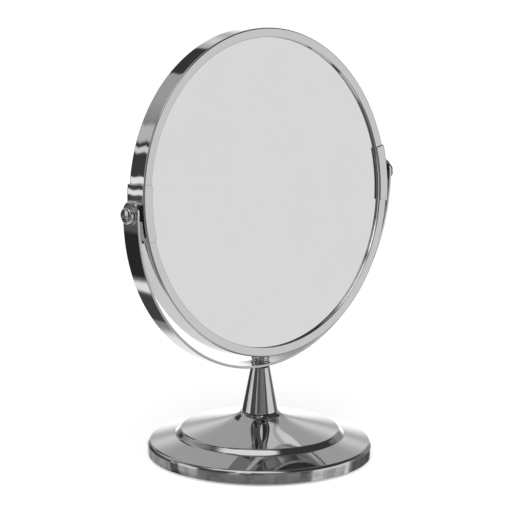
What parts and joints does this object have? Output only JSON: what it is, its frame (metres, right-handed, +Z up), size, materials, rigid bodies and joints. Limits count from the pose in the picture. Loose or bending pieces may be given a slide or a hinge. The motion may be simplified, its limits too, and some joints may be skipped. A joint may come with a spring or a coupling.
{
  "type": "tabletop shaving mirror",
  "caption": "Round two-sided shaving mirror that flips in a strap yoke, swivelling on a weighted round chrome foot.",
  "frame": {"origin": "centre of the foot, on the surface it stands on", "axes": "+Z up, +X along the tilt axis, and -Y the way the plain mirror faces at rest"},
  "size_m": [0.1986, 0.1254, 0.2398],
  "materials": {
    "chrome_cover": "bright chrome plate on spun and turned steel, with faint turning rings and fine wiping scratches",
    "chrome_strip": "bright chrome plate on rolled strip, with faint rolling waves and fine scratches along it",
    "chrome_screws": "chrome plated screws and washers, darker in the recesses",
    "mirror": "silvered float glass, clean, with faint wiping smears",
    "zinc_steel": "zinc plated steel",
    "cast_iron": "rough casting, painted dark",
    "nylon": "black nylon, satin",
    "packing": "dark soft extruded strip",
    "card": "grey-brown board",
    "foam": "black closed-cell foam, fine grained"
  },
  "bodies": {
    "base": {"base_cover": "chrome_cover", "base_weight": "cast_iron", "foot_pad": "foam", "base_bolt": "zinc_steel", "base_bolt_washer": "zinc_steel", "stem_cone": "chrome_cover", "swivel_washer": "nylon", "yoke_flat_washer": "chrome_screws", "yoke_spring_washer": "chrome_screws", "yoke_screw": "chrome_screws"},
    "yoke": {"yoke_band": "chrome_strip", "friction_washer_left": "nylon", "friction_washer_right": "nylon", "pivot_flat_washer_left": "chrome_screws", "pivot_flat_washer_right": "chrome_screws"},
    "head": {"rim_upper_half": "chrome_strip", "rim_lower_half": "chrome_strip", "rim_clip_left": "chrome_strip", "rim_clip_right": "chrome_strip", "plain_mirror_glass": "mirror", "backing_card": "card", "magnifying_mirror_glass": "mirror", "spacer_ring": "packing", "packing_strip_upper": "packing", "packing_strip_lower": "packing", "pivot_nut_left": "zinc_steel", "pivot_nut_right": "zinc_steel", "pivot_screw_left": "chrome_screws", "pivot_screw_right": "chrome_screws", "pivot_spring_washer_left": "chrome_screws", "pivot_spring_washer_right": "chrome_screws"}
  },
  "joints": [
    {"name": "yoke_swivel", "type": "hinge", "parent": "base", "child": "yoke", "pos_m": [0, 0, 0.051], "axis": [0, 0, 1], "continuous": true},
    {"name": "head_tilt", "type": "hinge", "parent": "yoke", "child": "head", "pos_m": [0, 0, 0.1495], "axis": [1, 0, 0], "continuous": true}
  ]
}
